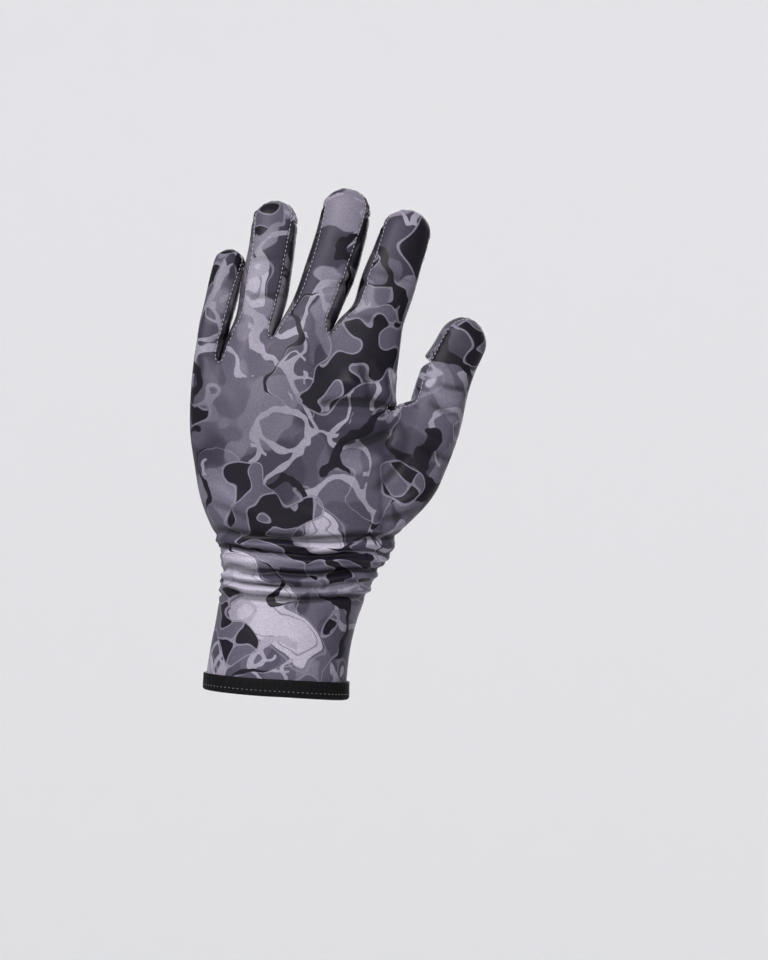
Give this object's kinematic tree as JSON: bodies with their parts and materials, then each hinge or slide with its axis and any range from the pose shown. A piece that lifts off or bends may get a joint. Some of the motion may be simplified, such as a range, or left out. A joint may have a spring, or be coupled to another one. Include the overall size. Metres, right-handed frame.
{
  "type": "stretch fishing glove for the left hand",
  "caption": "Left-hand stretch-cloth fishing glove in its worn form, with a camouflage print, a slit across the thumb, dotted grip patches on the palm, gathered wrist folds and a bound cuff",
  "frame": {"origin": "the centre of the wrist opening, at the height of the cuff's rim", "axes": "+Z points from the wrist to the fingertips, -Y out of the back of the hand, +Y out of the palm, +X to the thumb side"},
  "size_m": [0.1242, 0.0454, 0.2152],
  "materials": {
    "printed_cloth": "smooth knitted stretch cloth with a soft sheen, camouflage print in grey violet tones",
    "grip_fabric": "matte black cloth with small raised silicone dots",
    "binding_tape": "matte black folded tape"
  },
  "bodies": {
    "root": {"back_panel": "printed_cloth", "palm_panel": "printed_cloth", "side_strip_little_ring": "printed_cloth", "side_strip_ring_middle": "printed_cloth", "side_strip_middle_index": "printed_cloth", "thumb_front": "printed_cloth", "thumb_tip_cap": "printed_cloth", "grip_patch_fingers": "grip_fabric", "grip_patch_thumb": "grip_fabric", "grip_patch_heel": "grip_fabric", "cuff_binding": "binding_tape"}
  },
  "joints": []
}
